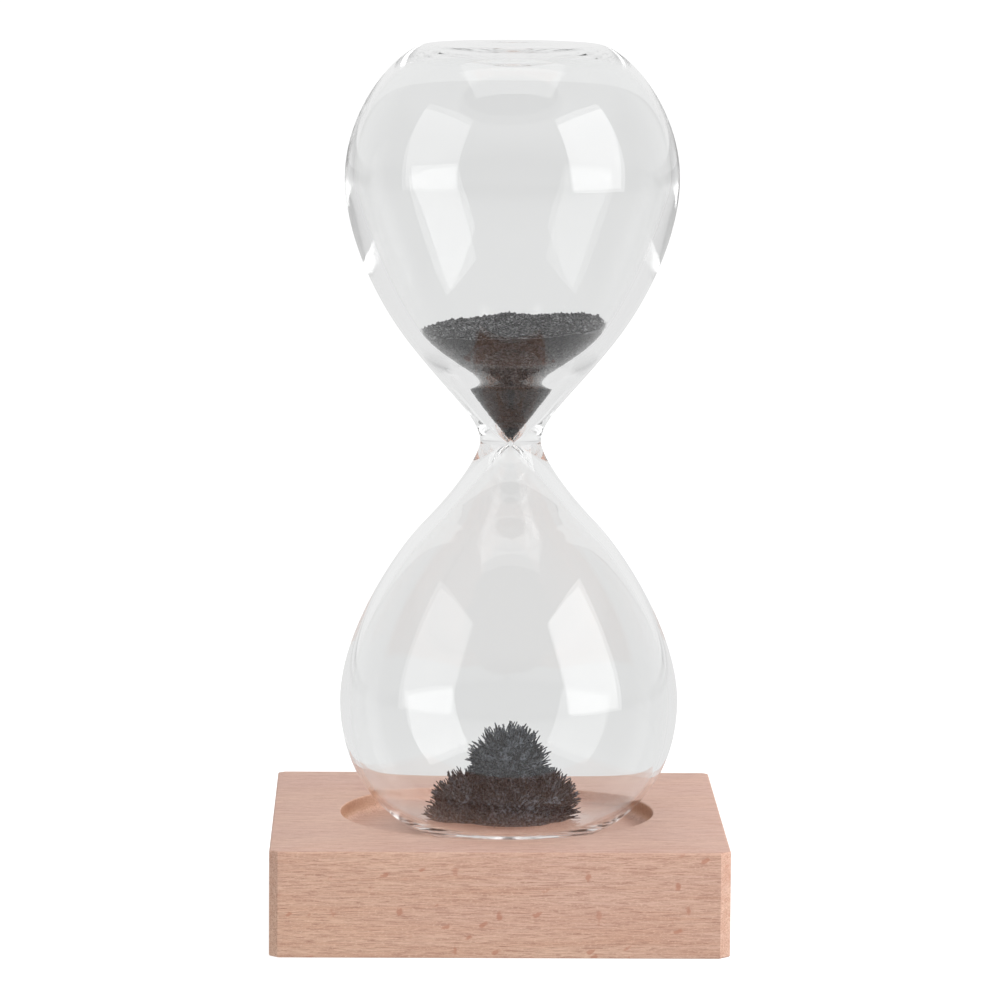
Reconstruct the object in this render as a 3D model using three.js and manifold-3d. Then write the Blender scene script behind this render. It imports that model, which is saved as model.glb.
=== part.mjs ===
// Magnetic sand timer: a blown hourglass with iron filings, standing loose in a recess in a beech block that
// hides a disc magnet. Millimetres, +Z up, X across the front, Y to the back.
// The origin is the centre of the block's underside.
import * as THREE from "three";
import { mergeVertices } from "three/addons/utils/BufferGeometryUtils.js";
import Module from "manifold-3d";

const wasm = await Module();
wasm.setup();

// Driving dimensions.
const GAP = 0.3; // clearance between pieces that rest on or fill each other
const BASE = {
  side: 80,
  height: 18.7,
  // Leg of each upright corner's hand-cut chamfer.
  chamfer: { frontLeft: 1.5, frontRight: 1.8, backRight: 0.8, backLeft: 1.0 },
};
const RECESS = { radius: 28, depth: 3.45, fillet: 1.6 };
const COVER = { radius: 18, thickness: 1.6, inset: 0.4 };
const MAGNET = { radius: 15, thickness: 8 };
const ADHESIVE = { radius: 13.5, thickness: 0.6 };
const GLASS = {
  offset: 2.0, // the glass stands this far to the right of the block's centre
  footZ: BASE.height - RECESS.depth + GAP,
  waist: 5.4, // outer radius of the neck
  orifice: 0.45, // radius of the hole through the neck
  lip: 0.55, // height over which the hole's edge is rounded, each way
  endWall: 1.6,
  dimpleRadius: 9.3, // both flat ends are slightly pushed in
  dimpleDepth: 1.4,
};
// One side of each bulb, measured from the waist. Outside: the ring `cone`, where the side slopes at `slope`
// degrees from the axis, the widest ring (belly, bellyHeight), and the edge of the flat end (flat, length).
// Inside: the neck's thick glass leaves a straight funnel up to the height `top`, then the side bends softly
// through the ring `shoulder` to the belly, where the glass is `wall` thick.
// The pulls are the lengths of the tangents that join these.
const UPPER_BULB = {
  cone: { radius: 18.3, height: 17.8, slope: 37.9, pullIn: 12.0, pullOut: 11.2, bellyPull: 8.9 },
  belly: 29.7, bellyHeight: 47.0, flat: 14.7, length: 70.7,
  waistPull: 4.2, bellyOut: 12.8, endPull: 5.1,
  wall: 1.6,
  funnel: { slope: 33.2, top: 11.55, pullOut: 1.3 },
  shoulder: { radius: 16.8, height: 20.6, slope: 36.0, pullIn: 6.3, pullOut: 8.9, bellyPull: 6.6 },
};
const LOWER_BULB = {
  cone: { radius: 15.5, height: 14.7, slope: 43.9, pullIn: 10.7, pullOut: 7.1, bellyPull: 12.0 },
  belly: 30.2, bellyHeight: 46.6, flat: 15.6, length: 69.9,
  waistPull: 1.6, bellyOut: 17.1, endPull: 1.7,
  wall: 1.7,
  funnel: { slope: 40.0, top: 12.0, pullOut: 2.0 },
  shoulder: { radius: 15.4, height: 17.3, slope: 43.9, pullIn: 2.0, pullOut: 5.3, bellyPull: 12.0 },
};
const FILL_HOLE = { radius: 2.0, dropRadius: 3.0, dropHeight: 0.6 };
const UPPER_FILINGS = { height: 20.8, tilt: 2.5 }; // level above the waist, and its slope in degrees
const PEAK = { x: 0.3, radius: 5.0, height: 17.0, spikes: 36 };
const SKIRT = { x: -0.5, radius: 10.2, height: 9.2, spikes: 60 };
const SPIKE = { radius: 0.55, length: 2.4, sides: 5 };

const WAIST_Z = GLASS.footZ + LOWER_BULB.length;
const LATHE_STEPS = 36;

function material(color, roughness, metalness = 0) {
  return new THREE.MeshStandardMaterial({ color, roughness, metalness });
}

const MATERIALS = {
  beech: material(0xd3a88c, 0.55),
  ferrite: material(0x3a3a3d, 0.6),
  adhesive: material(0xd9d2b4, 0.3),
  felt: material(0x2e2d2c, 0.95),
  glass: new THREE.MeshStandardMaterial({
    color: 0xe6ecea, roughness: 0.03, metalness: 0, transparent: true, opacity: 0.35,
  }),
  filings: material(0x3d3c3e, 0.5, 0.7),
};

function mesh(name, geometry, look) {
  const piece = new THREE.Mesh(geometry, look);
  piece.name = name;
  return piece;
}

// A closed three.js geometry as a manifold-3d solid.
function solid(geometry) {
  const bare = geometry.clone();
  bare.deleteAttribute("normal");
  bare.deleteAttribute("uv");
  const merged = mergeVertices(bare, 1e-4);
  return new wasm.Manifold(
    new wasm.Mesh({
      numProp: 3,
      vertProperties: merged.attributes.position.array,
      triVerts: new Uint32Array(merged.index.array),
    }),
  );
}

// A manifold-3d solid as a three.js geometry.
function geometryOf(body) {
  const { vertProperties, triVerts } = body.getMesh();
  const geometry = new THREE.BufferGeometry();
  geometry.setAttribute("position", new THREE.BufferAttribute(vertProperties, 3));
  geometry.setIndex(new THREE.BufferAttribute(triVerts, 1));
  geometry.computeVertexNormals();
  return geometry;
}

// Turns a profile of (radius, height) points about +Z.
function turned(profile, steps = LATHE_STEPS) {
  return new THREE.LatheGeometry(profile, steps).rotateX(Math.PI / 2);
}

// A disc standing on z = 0.
function disc(radius, thickness, steps = LATHE_STEPS) {
  return new THREE.CylinderGeometry(radius, radius, thickness, steps)
    .rotateX(Math.PI / 2)
    .translate(0, 0, thickness / 2);
}

// The block's square outline with its four chamfered corners.
function baseOutline() {
  const half = BASE.side / 2;
  const { frontLeft, frontRight, backRight, backLeft } = BASE.chamfer;
  return new THREE.Shape([
    new THREE.Vector2(-half + frontLeft, -half),
    new THREE.Vector2(half - frontRight, -half),
    new THREE.Vector2(half, -half + frontRight),
    new THREE.Vector2(half, half - backRight),
    new THREE.Vector2(half - backRight, half),
    new THREE.Vector2(-half + backLeft, half),
    new THREE.Vector2(-half, half - backLeft),
    new THREE.Vector2(-half, -half + frontLeft),
  ]);
}

// Where the magnet's pocket starts and ends, worked down from its ceiling.
const COVER_LEDGE_Z = COVER.inset + COVER.thickness + GAP;
const MAGNET_Z = COVER_LEDGE_Z + GAP;
const ADHESIVE_Z = MAGNET_Z + MAGNET.thickness + GAP;
const POCKET_TOP_Z = ADHESIVE_Z + ADHESIVE.thickness + GAP;

// The recess's cutter: a disc whose lower edge is rounded, as the router bit leaves it.
function recessCutter() {
  const floor = BASE.height - RECESS.depth;
  const corner = new THREE.Path();
  corner.moveTo(0, floor);
  corner.lineTo(RECESS.radius - RECESS.fillet, floor);
  corner.absarc(RECESS.radius - RECESS.fillet, floor + RECESS.fillet, RECESS.fillet, -Math.PI / 2, 0);
  corner.lineTo(RECESS.radius, BASE.height + 1);
  corner.lineTo(0, BASE.height + 1);
  return solid(turned(corner.getPoints(5), 48));
}

function baseBlock() {
  const block = solid(new THREE.ExtrudeGeometry(baseOutline(), { depth: BASE.height, bevelEnabled: false }));
  const pocket = solid(disc(MAGNET.radius + GAP, POCKET_TOP_Z + 1).translate(0, 0, -1));
  const coverSeat = solid(disc(COVER.radius + GAP, COVER_LEDGE_Z + 1).translate(0, 0, -1));
  const body = block.subtract(recessCutter()).subtract(pocket).subtract(coverSeat);
  return mesh("base_block", geometryOf(body), MATERIALS.beech);
}

// A unit step up a cone whose side leans `degrees` from the axis.
function upCone(degrees) {
  const angle = THREE.MathUtils.degToRad(degrees);
  return new THREE.Vector2(Math.sin(angle), Math.cos(angle));
}

// Moves a point of a cone's side square to it, towards the axis.
function inwards(point, degrees, distance) {
  const along = upCone(degrees);
  return new THREE.Vector2(point.x - along.y * distance, point.y + along.x * distance);
}

// Points along a curve, without its first: it leaves `from` towards `leave` and reaches `to` from `arrive`.
function bend(from, leave, arrive, to, steps = 6) {
  return new THREE.CubicBezierCurve(from, leave, arrive, to).getPoints(steps).slice(1);
}

// The ring's place on a bulb's side.
function ringPoint(ring) {
  return new THREE.Vector2(ring.radius, ring.height);
}

// A bulb's side from one of its rings over the belly to the edge of the flat end, with the belly and the end
// these distances inside the outer surface.
function bellySide(bulb, ring, bellyInset, endInset) {
  const start = ringPoint(ring);
  const belly = new THREE.Vector2(bulb.belly - bellyInset, bulb.bellyHeight);
  const end = new THREE.Vector2(bulb.flat, bulb.length - endInset);
  const leaveRing = start.clone().addScaledVector(upCone(ring.slope), ring.pullOut);
  const reachBelly = new THREE.Vector2(belly.x, belly.y - ring.bellyPull);
  const leaveBelly = new THREE.Vector2(belly.x, belly.y + bulb.bellyOut);
  const reachEnd = new THREE.Vector2(end.x + bulb.endPull, end.y);
  return [...bend(start, leaveRing, reachBelly, belly), ...bend(belly, leaveBelly, reachEnd, end)];
}

// A bulb's outside, up from the waist.
function outerSide(bulb) {
  const cone = ringPoint(bulb.cone);
  const neck = new THREE.Vector2(GLASS.waist, 0);
  const leaveNeck = new THREE.Vector2(GLASS.waist, bulb.waistPull);
  const reachCone = cone.clone().addScaledVector(upCone(bulb.cone.slope), -bulb.cone.pullIn);
  return [...bend(neck, leaveNeck, reachCone, cone), ...bellySide(bulb, bulb.cone, 0, 0)];
}

// A bulb's inside from the foot of its funnel to the flat end, `clearance` inside the glass.
function innerSide(bulb, clearance = 0) {
  const { funnel, shoulder } = bulb;
  const along = upCone(funnel.slope);
  const footRadius = GLASS.orifice + (0.5 * GLASS.lip * along.x) / along.y;
  const foot = inwards(new THREE.Vector2(footRadius, GLASS.lip), funnel.slope, clearance);
  const top = foot.clone().addScaledVector(along, (funnel.top - GLASS.lip) / along.y);
  const bent = inwards(ringPoint(shoulder), shoulder.slope, clearance);
  const leaveFunnel = top.clone().addScaledVector(along, funnel.pullOut);
  const reachShoulder = bent.clone().addScaledVector(upCone(shoulder.slope), -shoulder.pullIn);
  const ring = { ...shoulder, radius: bent.x, height: bent.y };
  return [
    foot,
    top,
    ...bend(top, leaveFunnel, reachShoulder, bent, 4),
    ...bellySide(bulb, ring, bulb.wall + clearance, GLASS.endWall + clearance),
  ];
}

// How far a flat end is pushed in at a distance from its centre.
function dimpleSag(radius) {
  return 0.5 * GLASS.dimpleDepth * (1 + Math.cos((Math.PI * radius) / GLASS.dimpleRadius));
}

// The pushed-in middle of a flat end, from its rim to `innerRadius`, at height `level`.
function dimple(level, innerRadius, steps = 4) {
  const points = [];
  for (let i = 0; i <= steps; i += 1) {
    const radius = THREE.MathUtils.lerp(GLASS.dimpleRadius, innerRadius, i / steps);
    points.push(new THREE.Vector2(radius, level - dimpleSag(radius)));
  }
  return points;
}

// The same points below the waist.
function mirrored(points) {
  return points.map((p) => new THREE.Vector2(p.x, -p.y));
}

// The whole vessel: up the outside, in through the filling hole, and down the inside.
function glassProfile() {
  const outerFoot = mirrored(dimple(LOWER_BULB.length, 0));
  const innerFoot = mirrored(dimple(LOWER_BULB.length - GLASS.endWall, 0));
  return [
    ...outerFoot.reverse(),
    ...mirrored(outerSide(LOWER_BULB)).reverse(),
    new THREE.Vector2(GLASS.waist, 0),
    ...outerSide(UPPER_BULB),
    ...dimple(UPPER_BULB.length, FILL_HOLE.radius),
    ...dimple(UPPER_BULB.length - GLASS.endWall, FILL_HOLE.radius).reverse(),
    ...innerSide(UPPER_BULB).reverse(),
    new THREE.Vector2(GLASS.orifice, 0),
    ...mirrored(innerSide(LOWER_BULB)),
    ...innerFoot,
  ];
}

function glassHourglass() {
  return mesh("glass_hourglass", turned(glassProfile()), MATERIALS.glass);
}

// The drop of glass melted over the filling hole: a stem in the hole under a low dome.
function fillSeal() {
  const { radius, dropRadius, dropHeight } = FILL_HOLE;
  const flangeZ = UPPER_BULB.length - dimpleSag(dropRadius) + GAP;
  const stemFootZ = UPPER_BULB.length - dimpleSag(radius) - GLASS.endWall;
  const profile = [
    new THREE.Vector2(0, stemFootZ),
    new THREE.Vector2(radius - GAP, stemFootZ),
    new THREE.Vector2(radius - GAP, flangeZ),
  ];
  const steps = 5;
  for (let i = 0; i <= steps; i += 1) {
    const turn = (i / steps) * (Math.PI / 2);
    const ring = i === steps ? 0 : dropRadius * Math.cos(turn);
    profile.push(new THREE.Vector2(ring, flangeZ + dropHeight * Math.sin(turn)));
  }
  return mesh("fill_seal", turned(profile, 24), MATERIALS.glass);
}

// The cavity's own shape above the waist, cut off by the filings' sloping surface.
function upperFilings() {
  const side = innerSide(UPPER_BULB, GAP);
  const tip = new THREE.Vector2(0, side[0].y);
  const top = new THREE.Vector2(0, side.at(-1).y);
  const core = solid(turned([tip, ...side, top], 32));
  const cutter = new THREE.BoxGeometry(BASE.side, BASE.side, BASE.side).translate(0, 0, BASE.side / 2);
  cutter.rotateY(THREE.MathUtils.degToRad(-UPPER_FILINGS.tilt)).translate(0, 0, UPPER_FILINGS.height);
  return mesh("filings_upper", geometryOf(core.subtract(solid(cutter))), MATERIALS.filings);
}

// A dome with spikes spread evenly over it by the golden angle, each standing square to the dome.
function spikyDome({ x, radius, height, spikes }) {
  const dome = new THREE.SphereGeometry(1, 18, 14).rotateX(Math.PI / 2).scale(radius, radius, height);
  let body = solid(dome);
  const goldenAngle = Math.PI * (3 - Math.sqrt(5));
  const up = new THREE.Vector3(0, 0, 1);
  for (let i = 0; i < spikes; i += 1) {
    const level = 1 - (i + 0.5) / spikes;
    const ring = Math.sqrt(1 - level * level);
    const root = new THREE.Vector3(Math.cos(i * goldenAngle) * ring, Math.sin(i * goldenAngle) * ring, level);
    const normal = new THREE.Vector3(root.x / radius, root.y / radius, root.z / height).normalize();
    root.multiply(new THREE.Vector3(radius, radius, height));
    const spike = new THREE.ConeGeometry(SPIKE.radius, SPIKE.length, SPIKE.sides).rotateX(Math.PI / 2);
    spike.translate(0, 0, SPIKE.length / 2 - 0.6);
    spike.applyQuaternion(new THREE.Quaternion().setFromUnitVectors(up, normal));
    body = body.add(solid(spike.translate(root.x, root.y, root.z)));
  }
  const floor = solid(new THREE.BoxGeometry(BASE.side, BASE.side, BASE.side).translate(0, 0, -BASE.side / 2));
  return body.subtract(floor).translate([x, 0, 0]);
}

// The cluster on the bottom of the lower bulb: a tall peak in a wide skirt.
function lowerFilings() {
  const cluster = mesh("filings_lower", geometryOf(spikyDome(PEAK).add(spikyDome(SKIRT))), MATERIALS.filings);
  cluster.position.z = GLASS.footZ + GLASS.endWall + GLASS.dimpleDepth + GAP;
  return cluster;
}

function placed(piece, z) {
  piece.position.z = z;
  return piece;
}

// The beech block with what is hidden in its underside.
function baseAssembly() {
  const group = new THREE.Group();
  group.add(
    baseBlock(),
    placed(mesh("pocket_cover", disc(COVER.radius, COVER.thickness), MATERIALS.felt), COVER.inset),
    placed(mesh("base_magnet", disc(MAGNET.radius, MAGNET.thickness), MATERIALS.ferrite), MAGNET_Z),
    placed(mesh("magnet_adhesive", disc(ADHESIVE.radius, ADHESIVE.thickness), MATERIALS.adhesive), ADHESIVE_Z),
  );
  return group;
}

// The hourglass and what is inside it, about its own axis.
function timerAssembly() {
  const group = new THREE.Group();
  group.position.x = GLASS.offset;
  group.add(
    placed(glassHourglass(), WAIST_Z),
    placed(fillSeal(), WAIST_Z),
    placed(upperFilings(), WAIST_Z),
    lowerFilings(),
  );
  return group;
}

const sandTimer = new THREE.Group();
sandTimer.add(baseAssembly(), timerAssembly());

export default sandTimer;
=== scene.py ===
"""Looks for the magnetic sand timer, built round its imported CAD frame.

Blender works in metres and every size below is in millimetres, so meshes are scaled by MM as they are made.
+Z is up, X runs across the front and Y to the back. The glass's outline is measured from its waist.
"""

import math

import bpy
import numpy as np
from mathutils import Matrix, Vector, noise


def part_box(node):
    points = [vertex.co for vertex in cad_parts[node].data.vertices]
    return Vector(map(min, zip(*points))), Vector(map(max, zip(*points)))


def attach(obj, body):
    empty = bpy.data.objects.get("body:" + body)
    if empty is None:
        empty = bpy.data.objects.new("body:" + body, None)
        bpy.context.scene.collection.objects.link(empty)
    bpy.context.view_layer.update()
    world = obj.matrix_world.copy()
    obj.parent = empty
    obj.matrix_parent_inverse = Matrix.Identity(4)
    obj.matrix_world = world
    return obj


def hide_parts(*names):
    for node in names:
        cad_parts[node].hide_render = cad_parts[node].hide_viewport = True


MM = 0.001
SEED = 20

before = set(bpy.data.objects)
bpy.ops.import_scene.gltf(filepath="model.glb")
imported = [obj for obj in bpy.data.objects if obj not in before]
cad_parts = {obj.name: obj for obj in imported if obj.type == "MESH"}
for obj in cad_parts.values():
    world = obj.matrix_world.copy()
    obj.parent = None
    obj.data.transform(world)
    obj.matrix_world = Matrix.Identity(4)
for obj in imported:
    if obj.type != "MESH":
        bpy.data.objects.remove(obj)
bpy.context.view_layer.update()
rng = np.random.default_rng(SEED)
noise.seed_set(SEED)  # noise_vector would follow the clock otherwise


# ---------------------------------------------------------------- places, from the frame


def box_mm(node):
    """Lowest and highest corner of a CAD node, in millimetres."""
    low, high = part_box(node)
    return np.array(low) / MM, np.array(high) / MM


BLOCK_LOW, BLOCK_HIGH = box_mm("base_block")
GLASS_LOW, GLASS_HIGH = box_mm("glass_hourglass")
COVER_LOW, COVER_HIGH = box_mm("pocket_cover")
MAGNET_LOW, MAGNET_HIGH = box_mm("base_magnet")
BED_LOW, BED_HIGH = box_mm("magnet_adhesive")

BLOCK_HALF = BLOCK_HIGH[0]
BLOCK_TOP = BLOCK_HIGH[2]
AXIS_X = (GLASS_LOW[0] + GLASS_HIGH[0]) / 2
GAP = 0.3  # the CAD keeps this much between pieces that touch

# The glass: one side of each bulb, as in the CAD. Outside, the ring `cone` where the side slopes at `slope`
# degrees from the axis, the widest ring `belly` and the edge of the flat end `end`. Inside, a straight funnel
# up to `top`, then a soft bend through the ring `shoulder` to the belly, where the glass is `wall` thick.
# The pulls are the lengths of the tangents that join these.
UPPER_BULB = {
    "cone": {"at": (18.3, 17.8), "slope": 37.9, "pull_in": 12.0, "pull_out": 11.2, "belly_pull": 8.9},
    "belly": (29.7, 47.0), "end": (14.7, 70.7), "waist_pull": 4.2, "belly_out": 12.8, "end_pull": 5.1,
    "wall": 1.6, "funnel": {"slope": 33.2, "top": 11.55, "pull_out": 1.3},
    "shoulder": {"at": (16.8, 20.6), "slope": 36.0, "pull_in": 6.3, "pull_out": 8.9, "belly_pull": 6.6},
}
LOWER_BULB = {
    "cone": {"at": (15.5, 14.7), "slope": 43.9, "pull_in": 10.7, "pull_out": 7.1, "belly_pull": 12.0},
    "belly": (30.2, 46.6), "end": (15.6, 69.9), "waist_pull": 1.6, "belly_out": 17.1, "end_pull": 1.7,
    "wall": 1.7, "funnel": {"slope": 40.0, "top": 12.0, "pull_out": 2.0},
    "shoulder": {"at": (15.4, 17.3), "slope": 43.9, "pull_in": 2.0, "pull_out": 5.3, "belly_pull": 12.0},
}
WAIST = 5.4
ORIFICE = 0.45
LIP = 0.55
END_WALL = 1.6
DIMPLE = {"radius": 9.3, "depth": 1.4}
DROP = {"radius": 3.0, "height": 0.9}
WAIST_Z = GLASS_HIGH[2] - UPPER_BULB["end"][1]
CAVITY_FLOOR_Z = WAIST_Z - LOWER_BULB["end"][1] + END_WALL

# ---------------------------------------------------------------- outlines


def bezier(start, leave, arrive, end, steps):
    """Points of a cubic curve, without its first."""
    points = [np.array(p, float) for p in (start, leave, arrive, end)]
    t = np.linspace(0, 1, steps + 1)[1:, None]
    weights = ((1 - t) ** 3, 3 * (1 - t) ** 2 * t, 3 * (1 - t) * t**2, t**3)
    return sum(w * p for w, p in zip(weights, points))


def up_cone(degrees):
    """A unit step up the side of a cone that leans this far from its axis."""
    return np.array([math.sin(math.radians(degrees)), math.cos(math.radians(degrees))])


def inwards(point, degrees, distance):
    """Moves a point of a cone's side square to it, towards the axis."""
    along = up_cone(degrees)
    return np.array(point) + distance * np.array([-along[1], along[0]])


def belly_side(bulb, ring, start, belly_inset, end_inset, steps=28):
    """A bulb's side from a point on one of its rings over the belly to the edge of the flat end."""
    belly = np.array(bulb["belly"]) - (belly_inset, 0)
    end = np.array(bulb["end"]) - (0, end_inset)
    leave_ring = start + up_cone(ring["slope"]) * ring["pull_out"]
    lower = bezier(start, leave_ring, belly - (0, ring["belly_pull"]), belly, steps)
    upper = bezier(belly, belly + (0, bulb["belly_out"]), end + (bulb["end_pull"], 0), end, steps)
    return np.vstack([lower, upper])


def outer_side(bulb):
    """A bulb's outside, up from the waist."""
    ring = bulb["cone"]
    cone = np.array(ring["at"])
    reach_cone = cone - up_cone(ring["slope"]) * ring["pull_in"]
    neck = bezier((WAIST, 0), (WAIST, bulb["waist_pull"]), reach_cone, cone, 32)
    return np.vstack([neck, belly_side(bulb, ring, cone, 0, 0)])


def inner_side(bulb, clearance=0.0):
    """A bulb's inside: the orifice's rounded lip, the funnel, its soft shoulder, and the wall."""
    funnel, ring = bulb["funnel"], bulb["shoulder"]
    along = up_cone(funnel["slope"])
    lip_radius = ORIFICE + 0.5 * LIP * along[0] / along[1]
    foot = inwards((lip_radius, LIP), funnel["slope"], clearance)
    top = foot + along * (funnel["top"] - LIP) / along[1]
    bent = inwards(ring["at"], ring["slope"], clearance)
    reach_bent = bent - up_cone(ring["slope"]) * ring["pull_in"]
    mouth = np.array([ORIFICE - clearance, 0])
    return np.vstack([
        bezier(mouth, mouth + (0, 0.45 * LIP), foot - 0.5 * LIP * along, foot, 8),
        bezier(foot, foot + along, top - along, top, 10),
        bezier(top, top + along * funnel["pull_out"], reach_bent, bent, 24),
        belly_side(bulb, ring, bent, bulb["wall"] + clearance, END_WALL + clearance),
    ])


def dimple_depth(radius):
    """How far the middle of a flat end is pushed in at this distance from the axis."""
    return 0.5 * DIMPLE["depth"] * (1 + np.cos(math.pi * radius / DIMPLE["radius"]))


def dimpled_end(bulb, inset, drop=False, steps=24):
    """The flat end from its edge to the axis, pushed in at the middle, with the fill hole's melted drop."""
    radius = np.linspace(DIMPLE["radius"], 0, steps + 1)
    height = bulb["end"][1] - inset - dimple_depth(radius)
    if drop:
        height += DROP["height"] * np.clip(1 - (radius / DROP["radius"]) ** 2, 0, 1) ** 0.75
    return np.column_stack([radius, height])


def below(points):
    """The same outline below the waist, from its far end back to the waist."""
    return (np.array(points) * (1, -1))[::-1]


def outer_profile():
    """The glass's outer skin, from the foot's middle up to the sealed top."""
    lower = np.vstack([outer_side(LOWER_BULB), dimpled_end(LOWER_BULB, 0)])
    upper = np.vstack([outer_side(UPPER_BULB), dimpled_end(UPPER_BULB, 0, drop=True)])
    return np.vstack([below(lower), [(WAIST, 0)], upper])


def inner_profile():
    """The cavity's skin, from bottom to top."""
    lower = np.vstack([inner_side(LOWER_BULB), dimpled_end(LOWER_BULB, END_WALL)])
    upper = np.vstack([inner_side(UPPER_BULB), dimpled_end(UPPER_BULB, END_WALL)])
    return np.vstack([below(lower), [(ORIFICE, 0)], upper])


# ---------------------------------------------------------------- meshes


def make_mesh(name, vertices, faces, material, sharp_angle=None):
    """A smooth-shaded object from points in millimetres; edges sharper than the angle stay crisp."""
    data = bpy.data.meshes.new(name)
    data.from_pydata([tuple(v) for v in np.array(vertices) * MM], [], faces)
    data.polygons.foreach_set("use_smooth", [True] * len(data.polygons))
    if sharp_angle is not None:
        data.set_sharp_from_angle(angle=math.radians(sharp_angle))
    data.materials.append(material)
    piece = bpy.data.objects.new(name, data)
    bpy.context.scene.collection.objects.link(piece)
    return piece


def rings_to_faces(rings, flip=False):
    """Quads between successive rings of vertex numbers; a ring of one number is a pole."""
    faces = []
    for lower, upper in zip(rings[:-1], rings[1:]):
        count = max(len(lower), len(upper))
        if count == 1:
            continue
        for i in range(count):
            j = (i + 1) % count
            below_edge = [lower[i % len(lower)], lower[j % len(lower)]]
            above_edge = [upper[j % len(upper)], upper[i % len(upper)]]
            face = list(dict.fromkeys(below_edge + above_edge))
            faces.append(face[::-1] if flip else face)
    return faces


def turned(profile, centre, segments, flip=False):
    """Vertices and faces of an outline turned about the vertical through `centre`."""
    angles = np.arange(segments) * 2 * math.pi / segments
    vertices, rings = [], []
    for radius, height in profile:
        around = [0.0] if radius < 1e-6 else angles
        rings.append(range(len(vertices), len(vertices) + len(around)))
        vertices += [(centre[0] + radius * math.cos(a), centre[1] + radius * math.sin(a), centre[2] + height)
                     for a in around]
    return vertices, rings_to_faces(rings, flip)


def joined(*parts):
    """Several (vertices, faces) as one."""
    vertices, faces = [], []
    for part_vertices, part_faces in parts:
        faces += [[i + len(vertices) for i in face] for face in part_faces]
        vertices += list(part_vertices)
    return vertices, faces


def disc_profile(radius, low, high, edge):
    """A disc's outline with edges rounded by `edge`."""
    arc = np.linspace(0, math.pi / 2, 5)
    lower = [(radius - edge + edge * math.sin(a), low + edge - edge * math.cos(a)) for a in arc]
    upper = [(radius - edge + edge * math.cos(a), high - edge + edge * math.sin(a)) for a in arc]
    return [(0, low), *lower, *upper, (0, high)]


# ---------------------------------------------------------------- material helpers


def srgb(red, green, blue):
    """A colour given as 0 to 255 screen values."""
    values = [v / 255 for v in (red, green, blue)]
    return tuple(v / 12.92 if v <= 0.04045 else ((v + 0.055) / 1.055) ** 2.4 for v in values) + (1.0,)


def new_material(name, sockets):
    """A node material and its Principled shader, with these socket values."""
    material = bpy.data.materials.new(name)
    material.use_nodes = True
    shader = material.node_tree.nodes["Principled BSDF"]
    for socket, value in sockets.items():
        shader.inputs[socket].default_value = value
    return material, material.node_tree, shader


def add(tree, kind, sockets, **settings):
    """A node; each socket gets a value or a link."""
    made = tree.nodes.new(kind)
    for key, value in settings.items():
        setattr(made, key, value)
    for socket, value in sockets.items():
        if isinstance(value, bpy.types.NodeSocket):
            tree.links.new(value, made.inputs[socket])
        else:
            made.inputs[socket].default_value = value
    return made


def place(tree, scale, rotation=(0, 0, 0)):
    """The piece's own coordinates, turned and then stretched by `scale` per metre."""
    coordinates = add(tree, "ShaderNodeTexCoord", {}).outputs["Object"]
    turned_to = add(tree, "ShaderNodeMapping", {"Vector": coordinates, "Rotation": rotation}).outputs[0]
    return add(tree, "ShaderNodeMapping", {"Vector": turned_to, "Scale": scale}).outputs[0]


def speckle(tree, vector, detail=3.0, roughness=0.5, distortion=0.0):
    """Noise from 0 to 1 at the vector's own scale."""
    shape = {"Detail": detail, "Roughness": roughness, "Distortion": distortion}
    return add(tree, "ShaderNodeTexNoise", {"Vector": vector, "Scale": 1.0, **shape}).outputs[0]


def remap(tree, value, low, high, to_low=0.0, to_high=1.0, kind="LINEAR"):
    """Stretches low..high to to_low..to_high and holds it there."""
    sockets = {0: value, 1: low, 2: high, 3: to_low, 4: to_high}
    return add(tree, "ShaderNodeMapRange", sockets, interpolation_type=kind).outputs[0]


def blend_colours(tree, factor, first, second):
    """The first colour at factor 0, the second at 1."""
    return add(tree, "ShaderNodeMix", {0: factor, 6: first, 7: second}, data_type="RGBA").outputs[2]


def calculate(tree, operation, first, second):
    """A maths node on two values or sockets."""
    return add(tree, "ShaderNodeMath", {0: first, 1: second}, operation=operation).outputs[0]


def bumped(tree, shader, height, distance, strength=1.0, under=None):
    """Feeds the shader a bump of this height map; `under` is another bump below it."""
    sockets = {"Height": height, "Distance": distance * MM, "Strength": strength}
    if under is not None:
        sockets["Normal"] = under
    normal = add(tree, "ShaderNodeBump", sockets).outputs[0]
    tree.links.new(normal, shader.inputs["Normal"])
    return normal


# ---------------------------------------------------------------- materials

# Beech: how often each pattern repeats per metre along X, Y and Z, and the tones it is made of.
LONG_GRAIN = {
    "wander": (14, 60, 60), "bands": (30, 700, 700), "lines": (260, 4200, 4200), "pores": (1700, 4200, 4200),
}
LONG_TONES = {
    "pale": srgb(222, 184, 160), "rosy": srgb(216, 178, 160), "band": srgb(200, 152, 128),
    "line": srgb(172, 126, 108), "pore": srgb(238, 208, 184),
}
END_GRAIN = {"rings": (0, 330, 330), "pores": (2600, 2600, 2600), "rays": (300, 2400, 160)}
END_TONES = {
    "early": srgb(196, 154, 128), "late": srgb(178, 132, 106),
    "ray": srgb(206, 168, 140), "pore": srgb(138, 98, 78),
}
# Ray flecks: the grid they lie on, per metre, its tilt in degrees, and the share of its cells without one.
SLANTED_FLECKS = {"grid": (330, 560, 700), "tilt": 24, "empty": 0.86}
UPRIGHT_FLECKS = {"grid": (520, 330, 330), "tilt": 0, "empty": 0.92}
FLECK = {"tone": srgb(184, 122, 98), "strength": 0.62}
LEVEL_FACE_TONE = {"tone": srgb(146, 116, 114), "strength": 0.3}  # a greyer, darker tone mixed into the top and underside
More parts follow.
